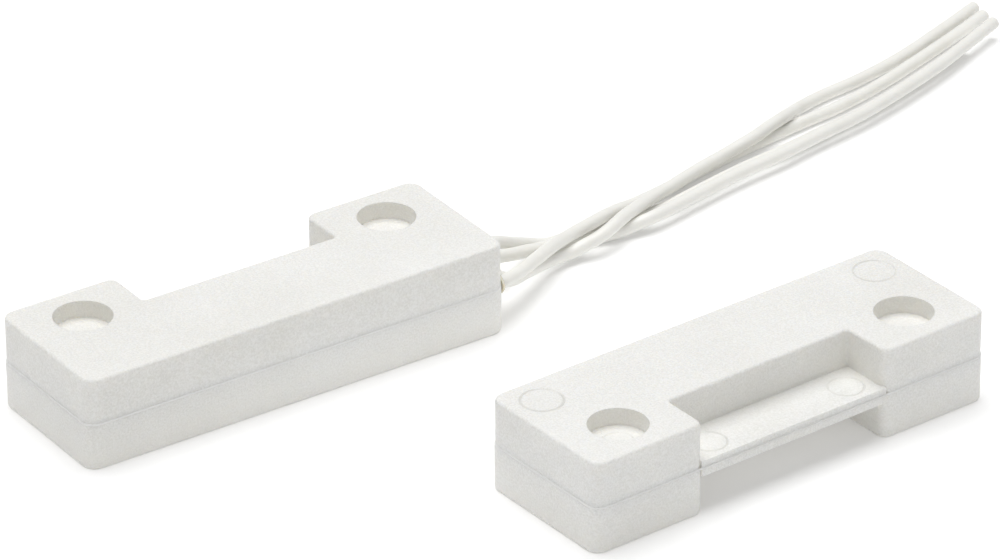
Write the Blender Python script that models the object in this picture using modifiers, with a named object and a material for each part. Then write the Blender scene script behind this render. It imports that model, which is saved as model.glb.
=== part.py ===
"""Magnetic door contact: a reed switch unit on four leads, and the magnet unit that works it.

Both units share one U-shaped housing of two half shells, with a flange across the notch where the halves
meet.
A unit's own frame has its origin at the centre of its underside, X along its length and the notch at +Y.
The switch unit stands in the world frame. The magnet unit is turned round, so that the two flat sides face.
Lengths are written in millimetres and multiplied by MM, so every value below is in metres.
"""

import math

import bmesh
import bpy
from mathutils import Euler, Matrix, Vector

MM = 0.001

# Housing
LENGTH = 60.0 * MM
WIDTH = 20.5 * MM
HEIGHT = 12.2 * MM
NOTCH_DEPTH = 6.8 * MM
EAR_LENGTH = 16.3 * MM
END_CORNER_RADIUS = 1.8 * MM
EAR_CORNER_RADIUS = 1.3 * MM
NOTCH_CORNER_RADIUS = 0.4 * MM
EDGE_FILLET = 0.4 * MM
WALL = 1.4 * MM
FLOOR = 1.3 * MM
PARTING_HEIGHT = 6.2 * MM
PARTING_GAP = 0.05 * MM
RIM_CHAMFER = 0.14 * MM
COVER_INSET = 0.1 * MM
UPPER_FLANGE = 0.9 * MM
LOWER_FLANGE = 1.1 * MM
FLANGE_ROOT = 0.4 * MM
TONGUE_THICKNESS = 0.55 * MM
TONGUE_HEIGHT = 0.8 * MM
TONGUE_CLEARANCE = 0.15 * MM

# Screw points: a blind counterbore in the cover over a passage, closed by a thin floor that the screw breaks
SCREW_FROM_END = 8.15 * MM
SCREW_FROM_BACK = 6.15 * MM
COUNTERBORE_RADIUS = 3.7 * MM
COUNTERBORE_DEPTH = 2.3 * MM
BREAK_OUT_FLOOR = 0.5 * MM
PASSAGE_RADIUS = 1.9 * MM
COLUMN_WALL = 1.3 * MM
COLUMN_STEP = 0.1 * MM

# Reed: a glass tube with a blade sealed into each end
REED_Y = -5.0 * MM
REED_HEIGHT = 5.0 * MM
GLASS_LENGTH = 14.0 * MM
GLASS_RADIUS = 1.1 * MM
GLASS_WALL = 0.25 * MM
SEAL_LENGTH = 1.6 * MM
BLADE_LEAD_RADIUS = 0.28 * MM
BLADE_LEAD_OUTSIDE = 3.6 * MM
BLADE_ROUND_INSIDE = 1.1 * MM
BLADE_WIDTH = 1.2 * MM
BLADE_THICKNESS = 0.22 * MM
BLADE_OVERLAP = 1.2 * MM
CONTACT_GAP = 0.3 * MM
SEAL_CLEARANCE = 0.12 * MM
SADDLE_SPACING = 8.0 * MM
SADDLE_LENGTH = 2.0 * MM
SADDLE_WIDTH = 2.8 * MM
SEAT_CLEARANCE = 0.15 * MM

# Joints between the blades, the conductors and the tamper loop
SOLDER_RADIUS = 0.9 * MM
SOLDER_LENGTH = 2.4 * MM
SOLDER_BORE_CLEARANCE = 0.2 * MM
END_GAP = 0.3 * MM
TAMPER_FROM_END = 11.6 * MM
TAMPER_Y = -2.55 * MM
TAMPER_HEIGHT = 5.2 * MM
TAMPER_SOLDER_RADIUS = 0.7 * MM
TAMPER_SOLDER_LENGTH = 4.2 * MM
SLEEVE_LENGTH = 6.8 * MM
SLEEVE_BORE = 0.95 * MM
SLEEVE_WALL = 0.3 * MM
TAMPER_BARE_LENGTH = 2.7 * MM

# Leads
LEAD_RADIUS = 0.85 * MM
CONDUCTOR_RADIUS = 0.3 * MM
CONDUCTOR_BARE_LENGTH = 3.0 * MM
LEAD_SPACING = 2.05 * MM
FRONT_EXIT_Y = -6.9 * MM
REAR_EXIT_Y = -0.975 * MM
FRONT_EXIT_DROP = 0.6 * MM
EXIT_CLEARANCE = 0.15 * MM
GLUE_THICKNESS = 1.1 * MM
GLUE_MARGIN = 0.65 * MM
GLUE_SEAT = 0.1 * MM
GLUE_CLEARANCE = 0.15 * MM
GLUE_COVER = 0.6 * MM
LEAD_STRAIGHT = 0.5 * MM
LEAD_POINT_SPACING = 5.7 * MM
TAIL_POINT_SPACING = 2.2 * MM

# Magnet
MAGNET_LENGTH = 26.0 * MM
MAGNET_WIDTH = 5.0 * MM
MAGNET_HEIGHT = 5.8 * MM
MAGNET_CHAMFER = 0.35 * MM
MAGNET_Y = -5.0 * MM
PAD_THICKNESS = 0.6 * MM
PAD_MARGIN = 0.5 * MM
PIECE_GAP = 0.1 * MM
STOP_THICKNESS = 1.2 * MM
STOP_HEIGHT = 3.0 * MM
HOLD_DOWN_SPACING = 16.0 * MM

# Where the magnet unit stands, from the switch unit's origin
MAGNET_UNIT_X = 37.75 * MM
MAGNET_UNIT_Y = -48.15 * MM
MAGNET_UNIT_TURN = math.radians(180.0 + 3.05)

CORNER_STEPS = 5
FILLET_STEPS = 3
ROUND_STEPS = 32
SMALL_ROUND_STEPS = 14
CUT_OVERSHOOT = 1.0 * MM
JOIN_OVERLAP = 0.5 * MM

# Worked out from the sizes above
FRONT = -WIDTH / 2
BACK = WIDTH / 2
END = LENGTH / 2
EAR_INNER = END - EAR_LENGTH
NOTCH_Y = BACK - NOTCH_DEPTH
SCREW_X = END - SCREW_FROM_END
SCREW_Y = BACK - SCREW_FROM_BACK
BASE_TOP = PARTING_HEIGHT - PARTING_GAP / 2
COVER_BOTTOM = PARTING_HEIGHT + PARTING_GAP / 2
ROOF = HEIGHT - FLOOR
COLUMN_RADIUS = COUNTERBORE_RADIUS + COLUMN_WALL
COUNTERBORE_FLOOR = HEIGHT - COUNTERBORE_DEPTH
SEAL_X = GLASS_LENGTH / 2 - SEAL_LENGTH / 2
SADDLE_X = SADDLE_SPACING / 2
BLADE_END_X = GLASS_LENGTH / 2 + BLADE_LEAD_OUTSIDE
SOLDER_X = BLADE_END_X + END_GAP / 2
CONDUCTOR_END_X = BLADE_END_X + END_GAP
TAIL_END_X = CONDUCTOR_END_X + CONDUCTOR_BARE_LENGTH
TAMPER_X = END - TAMPER_FROM_END
TAMPER_TAIL_X = TAMPER_X + SLEEVE_LENGTH / 2 + TAMPER_BARE_LENGTH
LEAD_EXIT_X = END + GLUE_COVER
TAIL_EXIT_X = LEAD_EXIT_X - END_GAP
PAD_BOTTOM = FLOOR + PIECE_GAP
MAGNET_BOTTOM = PAD_BOTTOM + PAD_THICKNESS + PIECE_GAP
MAGNET_TOP = MAGNET_BOTTOM + MAGNET_HEIGHT
HOLD_DOWN_X = HOLD_DOWN_SPACING / 2

# Y and height of the middle of each pair's exit, and of each lead in it
PAIR_EXITS = {
    "front": (FRONT_EXIT_Y, PARTING_HEIGHT - FRONT_EXIT_DROP),
    "rear": (REAR_EXIT_Y, PARTING_HEIGHT),
}
LEAD_EXITS = {
    f"lead_{number}": (PAIR_EXITS[pair][0] + side * LEAD_SPACING / 2, PAIR_EXITS[pair][1])
    for number, pair, side in ((1, "front", -1), (2, "front", 1), (3, "rear", -1), (4, "rear", 1))
}

# The leads' routes outside the housing, after the exit: hand-chosen points in millimetres, on and just above
# the floor, with X counted from the housing's end face
LEAD_ROUTES = {
    "lead_1": [
        (3.4, -7.1, 5.2), (6.8, -4.9, 5.05), (13.6, -1.2, 3.7), (18.2, 1.3, 2.75), (22, 2.2, 2.5),
        (26, 2.9, 2.6), (30, 5.1, 2.7), (33.5, 6.7, 1.7), (37, 8.0, 0.95), (43, 9.6, 0.87),
        (49.9, 10.5, 0.87), (56.4, 11.1, 0.87), (64.6, 12.2, 0.87), (70, 13.0, 0.87), (76.7, 14.9, 0.87),
        (84.7, 17.2, 0.87), (93.1, 20.4, 0.87), (100.6, 23.45, 0.87),
    ],
    "lead_2": [
        (3.4, -5.45, 3.8), (5, -4.75, 3.5), (6.8, -4.0, 3.0), (10, -2.4, 2.2), (14.1, -1.3, 1.6),
        (18.8, -0.9, 2.4), (23.4, 0.0, 2.95), (28.6, 1.8, 3.3), (34.6, 4.0, 3.05), (40.3, 5.6, 2.95),
        (48.1, 7.9, 2.95), (52, 9.8, 2.95), (57, 11.9, 2.85), (61.9, 13.9, 1.9), (67.4, 16.0, 1.1),
        (76, 17.7, 0.9), (83.5, 19.6, 0.87), (91.4, 22.1, 0.87), (101.6, 26.25, 0.87),
    ],
    "lead_3": [
        (3.4, -1.0, 5.4), (6.4, 1.0, 3.55), (11, 2.3, 1.9), (14.9, 1.8, 1.15), (21.8, 1.2, 0.9),
        (29.5, 1.6, 0.87), (36.4, 2.9, 0.87), (42, 3.9, 0.87), (48, 5.1, 0.9), (54.2, 5.6, 1.5),
        (60.6, 6.0, 2.25), (66, 7.2, 2.25), (75.3, 9.4, 2.25), (86.6, 13.6, 2.25), (93.4, 16.6, 2.25),
        (99.5, 19.45, 2.25),
    ],
    "lead_4": [
        (3.5, 1.3, 5.8), (7.4, 2.9, 4.3), (12.6, 4.6, 1.6), (16.6, 3.7, 0.88), (22.3, 3.05, 0.87),
        (28.6, 3.35, 0.87), (34.6, 4.4, 0.87), (40.3, 5.45, 0.87), (47.6, 6.9, 0.87), (54.5, 8.1, 0.87),
        (61.6, 9.1, 0.87), (67.5, 9.9, 0.87), (76.7, 12.0, 0.87), (88, 15.9, 0.87), (96.5, 19.5, 0.87),
    ],
}

# The same leads inside the housing, on the way in from the exit: X counted from the end face too
TAIL_ROUTES = {
    "lead_1": [(-3.0, -7.7, 5.5), (-8.0, -7.6, 4.6)],
    "lead_2": [(-4.0, -5.7, 5.6), (-10.0, -5.3, 5.4)],
    "lead_3": [(-3.6, -2.9, 5.7)],
    "lead_4": [(-3.6, -0.9, 5.7)],
}

# How the first lead goes on past the reed and turns back to its far end: X counted from where its insulation
# stops there
LOOP_ROUTE = [
    (28.9, -7.6, 3.1), (18.9, -7.6, 2.6), (7.9, -7.6, 2.6), (1.4, -7.6, 2.7),
    (-1.7, -7.4, 3.1), (-3.2, -6.2, 4.1), (-2.3, -5.2, 4.8),
]


def clear_scene():
    for item in list(bpy.data.objects):
        bpy.data.objects.remove(item, do_unlink=True)


def new_collection(name):
    collection = bpy.data.collections.new(name)
    bpy.context.scene.collection.children.link(collection)
    return collection


def material(name, colour, roughness, metallic=0.0, alpha=1.0):
    made = bpy.data.materials.new(name)
    made.use_nodes = True
    shader = made.node_tree.nodes["Principled BSDF"]
    shader.inputs["Base Color"].default_value = (*colour, 1.0)
    shader.inputs["Roughness"].default_value = roughness
    shader.inputs["Metallic"].default_value = metallic
    shader.inputs["Alpha"].default_value = alpha
    return made


def move_to(obj, collection):
    for owner in list(obj.users_collection):
        owner.objects.unlink(obj)
    collection.objects.link(obj)


def bake_transform(obj):
    """Puts the object's own placing into its mesh, so that its scale is 1 and its origin the unit's."""
    obj.data.transform(obj.matrix_basis)
    obj.matrix_basis = Matrix.Identity(4)


def box(name, low, high):
    bpy.ops.mesh.primitive_cube_add(size=1.0)
    obj = bpy.context.object
    obj.name = name
    obj.location = (Vector(low) + Vector(high)) / 2
    obj.scale = Vector(high) - Vector(low)
    bake_transform(obj)
    return obj


def cylinder(name, radius, start, end, steps=ROUND_STEPS):
    """A cylinder between two points."""
    start = Vector(start)
    along = Vector(end) - start
    bpy.ops.mesh.primitive_cylinder_add(vertices=steps, radius=radius, depth=along.length)
    obj = bpy.context.object
    obj.name = name
    turn = along.to_track_quat("Z", "Y").to_matrix().to_4x4()
    obj.data.transform(Matrix.Translation(start + along / 2) @ turn)
    return obj


def mesh_from_curve(obj):
    """The curve object as a mesh object of the same name, with its caps welded on."""
    name = obj.name
    graph = bpy.context.evaluated_depsgraph_get()
    mesh = bpy.data.meshes.new_from_object(obj.evaluated_get(graph))
    made = bpy.data.objects.new(name, mesh)
    made.matrix_world = obj.matrix_world
    bpy.data.objects.remove(obj, do_unlink=True)
    made.name = name
    bpy.context.scene.collection.objects.link(made)
    work = bmesh.new()
    work.from_mesh(mesh)
    bmesh.ops.remove_doubles(work, verts=work.verts, dist=1e-6)
    bmesh.ops.dissolve_limit(work, angle_limit=1e-3, verts=work.verts, edges=work.edges)
    bmesh.ops.recalc_face_normals(work, faces=work.faces)
    work.to_mesh(mesh)
    work.free()
    bake_transform(made)
    return made


def plate(name, outline, low, high):
    """A flat outline in X and Y, extruded from one height to another."""
    curve = bpy.data.curves.new(name, "CURVE")
    curve.dimensions = "2D"
    curve.fill_mode = "BOTH"
    curve.extrude = (high - low) / 2
    spline = curve.splines.new("POLY")
    spline.points.add(len(outline) - 1)
    for point, (x, y) in zip(spline.points, outline):
        point.co = (x, y, 0.0, 1.0)
    spline.use_cyclic_u = True
    obj = bpy.data.objects.new(name, curve)
    bpy.context.scene.collection.objects.link(obj)
    obj.location.z = (low + high) / 2
    bpy.context.view_layer.update()
    return mesh_from_curve(obj)


def rounded(corners, radii):
    """The outline through square corners, each turned into an arc of its own radius."""
    points = []
    for index, corner in enumerate(corners):
        corner = Vector(corner)
        radius = radii[index]
        back = (Vector(corners[index - 1]) - corner).normalized()
        ahead = (Vector(corners[(index + 1) % len(corners)]) - corner).normalized()
        centre = corner + (back + ahead) * radius
        for step in range(CORNER_STEPS + 1):
            angle = math.pi / 2 * step / CORNER_STEPS
            points.append(centre - ahead * radius * math.cos(angle) - back * radius * math.sin(angle))
    return [tuple(point) for point in points]


def housing_outline(inset):
    """The U-shaped plan of the housing, drawn in by a distance on every side."""
    end = END - inset
    front = FRONT + inset
    back = BACK - inset
    ear = EAR_INNER + inset
    notch = NOTCH_Y - inset
    corners = [
        (-end, front), (end, front), (end, back), (ear, back),
        (ear, notch), (-ear, notch), (-ear, back), (-end, back),
    ]
    outer = max(END_CORNER_RADIUS - inset, NOTCH_CORNER_RADIUS)
    inner = max(EAR_CORNER_RADIUS - inset, NOTCH_CORNER_RADIUS)
    notch_corner = NOTCH_CORNER_RADIUS + inset
    return rounded(corners, [outer, outer, outer, inner, notch_corner, notch_corner, inner, outer])


def bevel_rim(obj, height, width, segments):
    """Rounds or chamfers the outer edge of a plate's face at this height."""
    work = bmesh.new()
    work.from_mesh(obj.data)
    rim = [edge for edge in work.edges if all(abs(vert.co.z - height) < 1e-6 for vert in edge.verts)]
    bmesh.ops.bevel(work, geom=rim, offset=width, segments=segments, profile=0.5, affect="EDGES")
    work.to_mesh(obj.data)
    work.free()


def boolean(obj, other, operation, cutters):
    """Adds one Boolean step to an object. The helper stays in the scene as a wire that no render shows."""
    step = obj.modifiers.new(f"{operation.lower()}_{other.name}", "BOOLEAN")
    step.operation = operation
    step.solver = "EXACT"
    step.object = other
    other.hide_render = True
    other.display_type = "WIRE"
    move_to(other, cutters)


def screw_points():
    return [(-SCREW_X, SCREW_Y), (SCREW_X, SCREW_Y)]


def keep_columns(cutter, radius, low, high, cutters):
    """Leaves the two screw columns standing in a hollow."""
    for number, (x, y) in enumerate(screw_points()):
        column = cylinder(f"{cutter.name}_column_{number}", radius, (x, y, low), (x, y, high))
        boolean(cutter, column, "DIFFERENCE", cutters)


def flange(name, low, high, inset):
    """The strip across the notch, flush with the ears' outer faces."""
    reach = EAR_INNER + FLANGE_ROOT
    return box(name, (-reach, NOTCH_Y - FLANGE_ROOT, low), (reach, BACK - inset, high))


def base_shell(name, cutters):
    shell = plate(name, housing_outline(0.0), 0.0, BASE_TOP)
    bevel_rim(shell, 0.0, EDGE_FILLET, FILLET_STEPS)
    bevel_rim(shell, BASE_TOP, RIM_CHAMFER, 1)
    strip = flange(f"{name}_flange", PARTING_HEIGHT - LOWER_FLANGE, BASE_TOP, 0.0)
    boolean(shell, strip, "UNION", cutters)
    top = PARTING_HEIGHT + CUT_OVERSHOOT
    rebate_inset = WALL - TONGUE_THICKNESS - TONGUE_CLEARANCE
    rebate_bottom = PARTING_HEIGHT - TONGUE_HEIGHT - TONGUE_CLEARANCE
    rebate = plate(f"{name}_rebate", housing_outline(rebate_inset), rebate_bottom, top)
    clear_radius = COLUMN_RADIUS + COLUMN_STEP
    keep_columns(rebate, clear_radius, rebate_bottom - CUT_OVERSHOOT, top + CUT_OVERSHOOT, cutters)
    boolean(shell, rebate, "DIFFERENCE", cutters)
    hollow = plate(f"{name}_hollow", housing_outline(WALL), FLOOR, top)
    keep_columns(hollow, COLUMN_RADIUS, FLOOR - CUT_OVERSHOOT, top + CUT_OVERSHOOT, cutters)
    boolean(shell, hollow, "DIFFERENCE", cutters)
    for number, (x, y) in enumerate(screw_points()):
        passage = cylinder(f"{name}_passage_{number}", PASSAGE_RADIUS, (x, y, -CUT_OVERSHOOT), (x, y, top))
        boolean(shell, passage, "DIFFERENCE", cutters)
    return shell


def cover_shell(name, cutters):
    """The upper half, drawn in a little so that the lower half's rim shows as a fine ledge."""
    shell = plate(name, housing_outline(COVER_INSET), COVER_BOTTOM, HEIGHT)
    bevel_rim(shell, HEIGHT, EDGE_FILLET, FILLET_STEPS)
    strip = flange(f"{name}_flange", COVER_BOTTOM, PARTING_HEIGHT + UPPER_FLANGE, COVER_INSET)
    boolean(shell, strip, "UNION", cutters)
    tongue_bottom = PARTING_HEIGHT - TONGUE_HEIGHT
    tongue_outline = housing_outline(WALL - TONGUE_THICKNESS)
    tongue = plate(f"{name}_tongue", tongue_outline, tongue_bottom, PARTING_HEIGHT + JOIN_OVERLAP)
    boolean(shell, tongue, "UNION", cutters)
    bottom = tongue_bottom - CUT_OVERSHOOT
    hollow = plate(f"{name}_hollow", housing_outline(WALL), bottom, ROOF)
    keep_columns(hollow, COLUMN_RADIUS, bottom - CUT_OVERSHOOT, ROOF + CUT_OVERSHOOT, cutters)
    boolean(shell, hollow, "DIFFERENCE", cutters)
    for number, (x, y) in enumerate(screw_points()):
        clear_radius = COLUMN_RADIUS + COLUMN_STEP + TONGUE_CLEARANCE
        below = cylinder(f"{name}_below_{number}", clear_radius, (x, y, bottom), (x, y, COVER_BOTTOM))
        boolean(shell, below, "DIFFERENCE", cutters)
        bore_top = (x, y, HEIGHT + CUT_OVERSHOOT)
        bore_bottom = (x, y, COUNTERBORE_FLOOR)
        bore = cylinder(f"{name}_counterbore_{number}", COUNTERBORE_RADIUS, bore_bottom, bore_top)
        boolean(shell, bore, "DIFFERENCE", cutters)
        passage_top = (x, y, COUNTERBORE_FLOOR - BREAK_OUT_FLOOR)
        passage = cylinder(f"{name}_passage_{number}", PASSAGE_RADIUS, (x, y, bottom), passage_top)
        boolean(shell, passage, "DIFFERENCE", cutters)
    return shell


def cut_lead_exits(shell, cutters):
    """A slot through the end wall, partly in each shell, for each pair of leads."""
    reach = LEAD_RADIUS + EXIT_CLEARANCE
    for side, (middle, height) in PAIR_EXITS.items():
        half = LEAD_SPACING / 2 + reach
        low = (END - WALL - CUT_OVERSHOOT, middle - half, height - reach)
        high = (END + CUT_OVERSHOOT, middle + half, height + reach)
        slot = box(f"{shell.name}_{side}_exit", low, high)
        bevel = slot.modifiers.new("round_ends", "BEVEL")
        bevel.width = reach * 0.98
        bevel.segments = 4
        bevel.limit_method = "WEIGHT"
        weights = slot.data.attributes.new("bevel_weight_edge", "FLOAT", "EDGE")
        for edge in slot.data.edges:
            first, second = (slot.data.vertices[index].co for index in edge.vertices)
            along = abs((second - first).normalized().x)
            weights.data[edge.index].value = 1.0 if along > 0.9 else 0.0
        boolean(shell, slot, "DIFFERENCE", cutters)


def reed_saddle(name, x, cutters):
    """A post on the floor whose top takes the lower half of the glass."""
    half = SADDLE_WIDTH / 2
    low = (x - SADDLE_LENGTH / 2, REED_Y - half, FLOOR - JOIN_OVERLAP)
    high = (x + SADDLE_LENGTH / 2, REED_Y + half, REED_HEIGHT)
    saddle = box(name, low, high)
    reach = SADDLE_LENGTH
    start = (x - reach, REED_Y, REED_HEIGHT)
    finish = (x + reach, REED_Y, REED_HEIGHT)
    seat = cylinder(f"{name}_seat", GLASS_RADIUS + SEAT_CLEARANCE, start, finish, SMALL_ROUND_STEPS * 2)
    boolean(saddle, seat, "DIFFERENCE", cutters)
    return saddle


def switch_base(cutters):
    shell = base_shell("switch_base", cutters)
    cut_lead_exits(shell, cutters)
    for number, x in enumerate((-SADDLE_X, SADDLE_X)):
        boolean(shell, reed_saddle(f"saddle_{number}", x, cutters), "UNION", cutters)
    return shell


def switch_cover(cutters):
    shell = cover_shell("switch_cover", cutters)
    cut_lead_exits(shell, cutters)
    for number, x in enumerate((-SADDLE_X, SADDLE_X)):
        bottom = REED_HEIGHT + GLASS_RADIUS + SEAT_CLEARANCE
        low = (x - SADDLE_LENGTH / 2, REED_Y - SADDLE_WIDTH / 2, bottom)
        high = (x + SADDLE_LENGTH / 2, REED_Y + SADDLE_WIDTH / 2, ROOF + JOIN_OVERLAP)
        boolean(shell, box(f"reed_keeper_{number}", low, high), "UNION", cutters)
    return shell


def magnet_base(cutters):
    """The base whose stops locate the bar magnet at both ends and along its inner side."""
    shell = base_shell("magnet_base", cutters)
    half = MAGNET_WIDTH / 2
    bottom = FLOOR - JOIN_OVERLAP
    top = FLOOR + STOP_HEIGHT
    inner = MAGNET_LENGTH / 2 + SEAT_CLEARANCE
    for number, sign in enumerate((-1, 1)):
        ends = sorted((sign * inner, sign * (inner + STOP_THICKNESS)))
        low = (ends[0], MAGNET_Y - half, bottom)
        high = (ends[1], MAGNET_Y + half, top)
        stop = box(f"magnet_stop_{number}", low, high)
        boolean(shell, stop, "UNION", cutters)
    side = MAGNET_Y + half + SEAT_CLEARANCE
    low = (-MAGNET_LENGTH / 4, side, bottom)
    high = (MAGNET_LENGTH / 4, side + STOP_THICKNESS, top)
    boolean(shell, box("magnet_side_stop", low, high), "UNION", cutters)
    return shell


def magnet_cover(cutters):
    shell = cover_shell("magnet_cover", cutters)
    for number, x in enumerate((-HOLD_DOWN_X, HOLD_DOWN_X)):
        low = (x - STOP_THICKNESS / 2, MAGNET_Y - MAGNET_WIDTH / 2, MAGNET_TOP + SEAT_CLEARANCE)
        high = (x + STOP_THICKNESS / 2, MAGNET_Y + MAGNET_WIDTH / 2, ROOF + JOIN_OVERLAP)
        boolean(shell, box(f"magnet_keeper_{number}", low, high), "UNION", cutters)
    return shell


def turned(name, profile, centre, steps=SMALL_ROUND_STEPS):
    """A closed profile of (radius, distance along the axis) points, turned about an axis along X."""
    mesh = bpy.data.meshes.new(name)
    points = [(radius, 0.0, along) for radius, along in profile]
    edges = [(index, (index + 1) % len(points)) for index in range(len(points))]
    mesh.from_pydata(points, edges, [])
    obj = bpy.data.objects.new(name, mesh)
    bpy.context.scene.collection.objects.link(obj)
    screw = obj.modifiers.new("turn", "SCREW")
    screw.axis = "Z"
    screw.steps = steps
    screw.render_steps = steps
    screw.use_merge_vertices = True
    screw.merge_threshold = 1e-6
    screw.use_smooth_shade = False
    obj.rotation_euler = (0.0, math.pi / 2, 0.0)
    obj.location = centre
    return obj


def ring_profile(radius, bore, length):
    """The section of a plain tube, from its top down the outer side and back up the bore."""
    half = length / 2
    soft = (radius - bore) * 0.4
    return [
        (bore, half), (radius - soft, half), (radius, half - soft),
        (radius, -half + soft), (radius - soft, -half), (bore, -half),
    ]


def reed_glass():
    """A drawn glass tube whose ends close down on the blades."""
    half = GLASS_LENGTH / 2
    inner = GLASS_RADIUS - GLASS_WALL
    bore = BLADE_LEAD_RADIUS + SEAL_CLEARANCE
    shoulder = GLASS_RADIUS * 0.5
    taper = GLASS_RADIUS * 0.8
    outside = [
        (bore, half), (shoulder, half),
        (GLASS_RADIUS * 0.85, half - taper * 0.4), (GLASS_RADIUS, half - taper),
        (GLASS_RADIUS, taper - half), (GLASS_RADIUS * 0.85, taper * 0.4 - half),
        (shoulder, -half), (bore, -half),
    ]
    seal = half - SEAL_LENGTH
    inside = [
        (bore, -seal), (inner * 0.8, -seal + 0.3 * MM), (inner, -seal + 0.9 * MM),
        (inner, seal - 0.9 * MM), (inner * 0.8, seal - 0.3 * MM), (bore, seal),
    ]
    return turned("reed_glass", outside + inside, (0.0, REED_Y, REED_HEIGHT))


def reed_blade(name, side, cutters):
    """A round lead that is rolled flat inside the glass. side is -1 for the left blade, 1 for the right."""
    flat_start = side * (GLASS_LENGTH / 2 - SEAL_LENGTH - BLADE_ROUND_INSIDE)
    lead_end = (side * BLADE_END_X, REED_Y, REED_HEIGHT)
    root = (flat_start - side * JOIN_OVERLAP, REED_Y, REED_HEIGHT)
    blade = cylinder(name, BLADE_LEAD_RADIUS, lead_end, root, SMALL_ROUND_STEPS)
    middle = REED_HEIGHT + side * (CONTACT_GAP + BLADE_THICKNESS) / 2
    ends = sorted((flat_start, -side * BLADE_OVERLAP / 2))
    low = (ends[0], REED_Y - BLADE_WIDTH / 2, middle - BLADE_THICKNESS / 2)
    high = (ends[1], REED_Y + BLADE_WIDTH / 2, middle + BLADE_THICKNESS / 2)
    paddle = box(f"{name}_paddle", low, high)
    bevel = paddle.modifiers.new("edges", "BEVEL")
    bevel.width = BLADE_THICKNESS * 0.2
    bevel.segments = 1
    boolean(blade, paddle, "UNION", cutters)
    hinge = Vector((side * SEAL_X, REED_Y, REED_HEIGHT))
    blade.data.transform(Matrix.Translation(-hinge))
    blade.location = hinge
    paddle.data.transform(Matrix.Translation(-hinge))
    paddle.location = hinge
    return blade


def solder_joint(name, side):
    bore = max(BLADE_LEAD_RADIUS, CONDUCTOR_RADIUS) + SOLDER_BORE_CLEARANCE
    profile = ring_profile(SOLDER_RADIUS, bore, SOLDER_LENGTH)
    return turned(name, profile, (side * SOLDER_X, REED_Y, REED_HEIGHT))


def tamper_sleeve():
    profile = ring_profile(SLEEVE_BORE + SLEEVE_WALL, SLEEVE_BORE, SLEEVE_LENGTH)
    return turned("tamper_sleeve", profile, (TAMPER_X, TAMPER_Y, TAMPER_HEIGHT))


def tamper_joint():
    """The solder that joins the two tamper leads into a loop, inside its sleeve."""
    half = TAMPER_SOLDER_LENGTH / 2
    start = (TAMPER_X - half, TAMPER_Y, TAMPER_HEIGHT)
    finish = (TAMPER_X + half, TAMPER_Y, TAMPER_HEIGHT)
    joint = cylinder("tamper_joint", TAMPER_SOLDER_RADIUS, start, finish, SMALL_ROUND_STEPS)
    bevel = joint.modifiers.new("flow", "BEVEL")
    bevel.width = TAMPER_SOLDER_RADIUS * 0.45
    bevel.segments = 2
    bevel.limit_method = "ANGLE"
    bevel.angle_limit = math.radians(60.0)
    return joint


def through_points(points, spacing):
    """Points read at even steps from a smooth curve that passes through every point given."""
    points = [Vector(point) for point in points]
    padded = [2 * points[0] - points[1], *points, 2 * points[-1] - points[-2]]
    dense = []
    for before, start, finish, after in zip(padded, padded[1:], padded[2:], padded[3:]):
        for step in range(20):
            t = step / 20
            dense.append(
                0.5 * (
                    2 * start
                    + (finish - before) * t
                    + (2 * before - 5 * start + 4 * finish - after) * t**2
                    + (3 * start - before - 3 * finish + after) * t**3
                )
            )
    dense.append(points[-1])
    lengths = [0.0]
    for first, second in zip(dense, dense[1:]):
        lengths.append(lengths[-1] + (second - first).length)
    count = max(2, round(lengths[-1] / spacing) + 1)
    found = []
    place = 0
    for index in range(count):
        target = lengths[-1] * index / (count - 1)
        while place < len(dense) - 2 and lengths[place + 1] < target:
            place += 1
        share = (target - lengths[place]) / (lengths[place + 1] - lengths[place])
        found.append(dense[place].lerp(dense[place + 1], share))
    return found


def tube(name, points, radius):
    """A round tube with closed ends along the points."""
    curve = bpy.data.curves.new(name, "CURVE")
    curve.dimensions = "3D"
    curve.bevel_depth = radius
    curve.bevel_resolution = 2
    curve.use_fill_caps = True
    spline = curve.splines.new("POLY")
    spline.points.add(len(points) - 1)
    for slot, point in zip(spline.points, points):
        slot.co = (*point, 1.0)
    obj = bpy.data.objects.new(name, curve)
    bpy.context.scene.collection.objects.link(obj)
    return obj


def in_metres(route, start_x):
    """A route's points in metres, its X counted from start_x."""
    return [(start_x + x * MM, y * MM, z * MM) for x, y, z in route]


def lead(name):
    exit_point = (LEAD_EXIT_X, *LEAD_EXITS[name])
    straight = (LEAD_EXIT_X + LEAD_STRAIGHT, *LEAD_EXITS[name])
    route = through_points([straight, *in_metres(LEAD_ROUTES[name], END)], LEAD_POINT_SPACING)
    return tube(name, [Vector(exit_point), *route], LEAD_RADIUS)


def tail_end(name):
    """Where a lead's insulation is stripped inside the housing, and where its bare conductor ends."""
    if name == "lead_1":
        return (-TAIL_END_X, REED_Y, REED_HEIGHT), (-CONDUCTOR_END_X, REED_Y, REED_HEIGHT)
    if name == "lead_2":
        return (TAIL_END_X, REED_Y, REED_HEIGHT), (CONDUCTOR_END_X, REED_Y, REED_HEIGHT)
    side = -1 if name == "lead_3" else 1
    stripped = (TAMPER_TAIL_X, TAMPER_Y + side * LEAD_SPACING / 2, TAMPER_HEIGHT)
    inside = TAMPER_X + TAMPER_SOLDER_LENGTH / 2 + END_GAP
    return stripped, (inside, TAMPER_Y + side * SLEEVE_BORE * 0.42, TAMPER_HEIGHT)


def lead_tail(name):
    stripped, _ = tail_end(name)
    start = (TAIL_EXIT_X, *LEAD_EXITS[name])
    inside = (END - WALL, *LEAD_EXITS[name])
    route = in_metres(TAIL_ROUTES[name], END)
    if name == "lead_1":
        route += in_metres(LOOP_ROUTE, stripped[0])
    points = through_points([inside, *route, stripped], TAIL_POINT_SPACING)
    return tube(f"{name}_tail", [Vector(start), *points], LEAD_RADIUS)


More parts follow.
